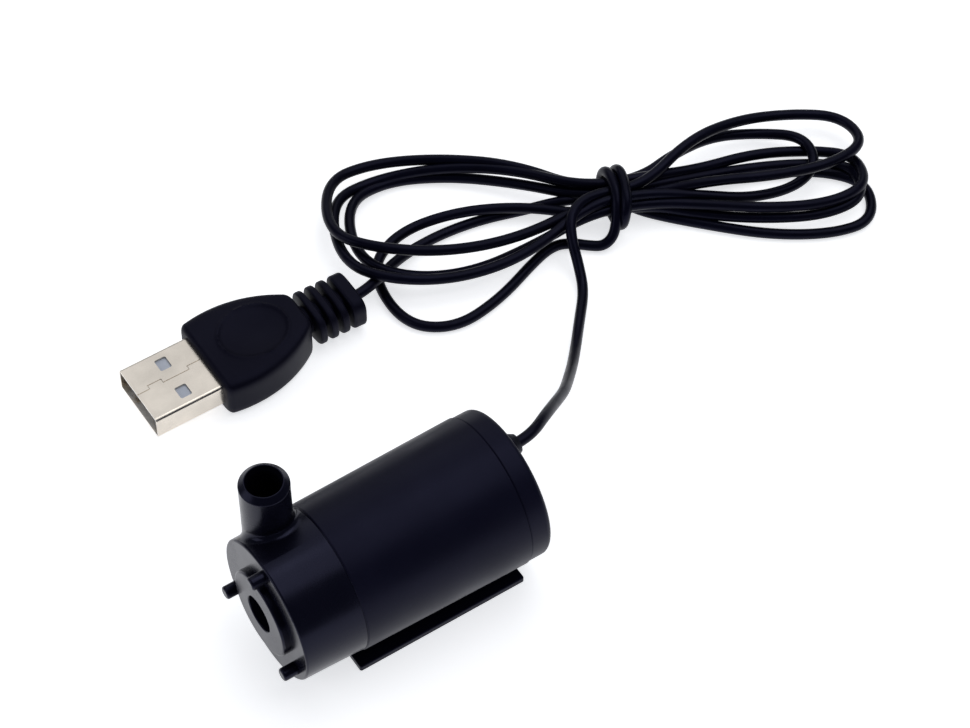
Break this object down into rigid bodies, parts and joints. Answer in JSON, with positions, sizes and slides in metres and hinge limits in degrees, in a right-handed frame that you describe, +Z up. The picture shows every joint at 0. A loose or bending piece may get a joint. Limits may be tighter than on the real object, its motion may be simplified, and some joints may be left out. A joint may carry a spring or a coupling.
{
  "type": "fountain submersible pump",
  "caption": "Small round submersible fountain pump with upright side outlet, front inlet and base plate, on a tied USB lead with its plug.",
  "frame": {"origin": "on the ground under the middle of the pump's own box, without the lead", "axes": "+X along the motor shaft from the inlet to the rear cap, +Z up, the outlet points up"},
  "size_m": [0.1377, 0.0853, 0.033],
  "materials": {
    "bare_copper": "bare copper",
    "black_wire": "black insulation",
    "bright_steel": "ground steel",
    "brown_phenolic": "phenolic",
    "cable_jacket": "satin black PVC jacket",
    "core_steel": "stacked silicon steel",
    "enamelled_copper": "enamelled copper wire",
    "epoxy": "cast black epoxy",
    "ferrite": "dark ferrite",
    "gold_contacts": "gold flashed",
    "head_plastic": "satin black moulded ABS",
    "housing_plastic": "satin black moulded ABS",
    "impeller_plastic": "natural white acetal",
    "inner_mould": "white polyethylene",
    "nickel_shell": "nickel plated steel",
    "plug_pvc": "matt black PVC overmould",
    "red_wire": "red insulation",
    "seal_rubber": "black nitrile",
    "sintered_bronze": "oil-soaked sintered bronze",
    "soft_pvc": "soft black PVC",
    "spring_copper": "spring copper",
    "tinned_brass": "tinned brass",
    "tongue_plastic": "white moulded insulator",
    "white_nylon": "natural nylon",
    "zinc_steel": "zinc plated drawn steel"
  },
  "bodies": {
    "pump": {"brush_left": "spring_copper", "brush_right": "spring_copper", "cable_gland": "soft_pvc", "cord_hank": "cable_jacket", "cord_lead": "cable_jacket", "cord_tail": "cable_jacket", "front_bearing": "sintered_bronze", "head_o_ring": "seal_rubber", "inner_cable": "cable_jacket", "magnet_lower": "ferrite", "magnet_upper": "ferrite", "motor_can": "zinc_steel", "motor_end_bell": "white_nylon", "motor_housing": "housing_plastic", "plug_contacts": "gold_contacts", "plug_inner_mould": "inner_mould", "plug_overmould": "plug_pvc", "plug_shell": "nickel_shell", "plug_tongue": "tongue_plastic", "potting_seal": "epoxy", "rear_bearing": "sintered_bronze", "rear_cap": "housing_plastic", "seal_retainer": "bright_steel", "shaft_seal": "seal_rubber", "terminal_left": "tinned_brass", "terminal_right": "tinned_brass", "wire_black": "black_wire", "wire_red": "red_wire"},
    "head": {"pump_head": "head_plastic"},
    "rotor": {"motor_shaft": "bright_steel", "rotor_core": "core_steel", "rotor_windings": "enamelled_copper", "commutator_sleeve": "brown_phenolic", "commutator_bars": "bare_copper", "thrust_washers": "white_nylon", "rotor_spacer": "white_nylon", "impeller": "impeller_plastic"}
  },
  "joints": [
    {"name": "head_pull", "type": "slide", "parent": "pump", "child": "head", "axis": [-1, 0, 0], "range_m": [0, 0.016]},
    {"name": "rotor_spin", "type": "hinge", "parent": "pump", "child": "rotor", "pos_m": [0, 0, 0.0132], "axis": [1, 0, 0], "continuous": true}
  ]
}
